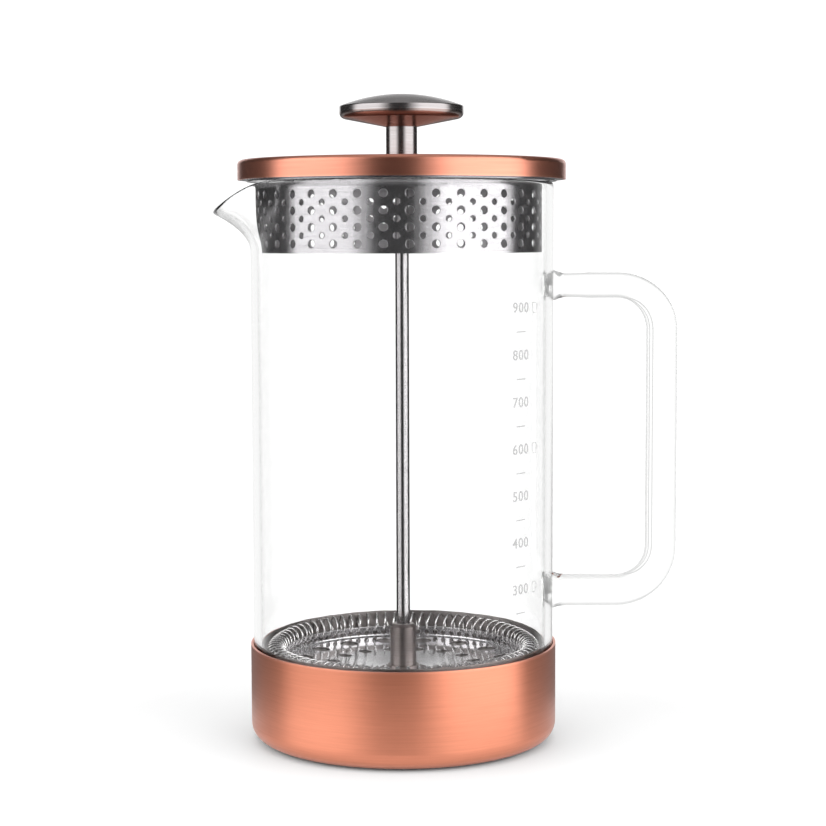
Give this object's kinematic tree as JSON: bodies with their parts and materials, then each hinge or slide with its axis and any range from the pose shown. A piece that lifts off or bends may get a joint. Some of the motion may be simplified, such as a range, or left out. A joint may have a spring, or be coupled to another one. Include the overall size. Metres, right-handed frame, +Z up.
{
  "type": "french press",
  "caption": "French press: straight glass beaker with spout and bent glass handle in a metal base cup, with a flat lid, perforated collar and a knobbed plunger with a spring-edged filter.",
  "frame": {"origin": "middle of the underside of the foot pad, on the surface that the press stands on", "axes": "+Z up along the rod, +X towards the handle, -X towards the spout, -Y towards the front"},
  "size_m": [0.1512, 0.1058, 0.2097],
  "materials": {
    "glass": "clear, polished",
    "copper": "copper-plated steel, satin brushed",
    "steel_brushed": "stainless steel, brushed",
    "steel_polished": "stainless steel, polished",
    "knob_steel": "stainless steel, polished",
    "mesh_steel": "woven stainless wire cloth",
    "spring_steel": "bright spring wire",
    "silicone": "matte silicone",
    "acetal": "moulded, matte"
  },
  "bodies": {
    "beaker": {"glass_beaker": "glass", "glass_handle": "glass", "base_cup": "copper", "seat_ring": "silicone", "foot_pad": "silicone"},
    "lid": {"lid_cover": "copper", "lid_plate": "steel_brushed", "strainer_collar": "steel_brushed"},
    "rod_guide": {"guide_bush": "acetal", "guide_clip": "steel_polished"},
    "plunger": {"plunger_rod": "steel_polished", "knob_stem": "knob_steel", "knob_pan": "knob_steel", "knob_cap": "knob_steel", "knob_insert": "steel_brushed", "rod_ferrule": "steel_polished", "spiral_plate": "steel_polished", "coil_spring": "spring_steel", "mesh_screen": "mesh_steel", "cross_plate": "steel_brushed", "cross_plate_nut": "steel_polished"}
  },
  "joints": [
    {"name": "lid_lift", "type": "slide", "parent": "beaker", "child": "lid", "axis": [0, 0, 1], "range_m": [0, 0.18]},
    {"name": "plunger_turn", "type": "hinge", "parent": "lid", "child": "rod_guide", "pos_m": [0, 0, 0.1855], "axis": [0, 0, 1], "continuous": true},
    {"name": "plunger_slide", "type": "slide", "parent": "rod_guide", "child": "plunger", "axis": [0, 0, 1], "range_m": [0, 0.125]}
  ]
}
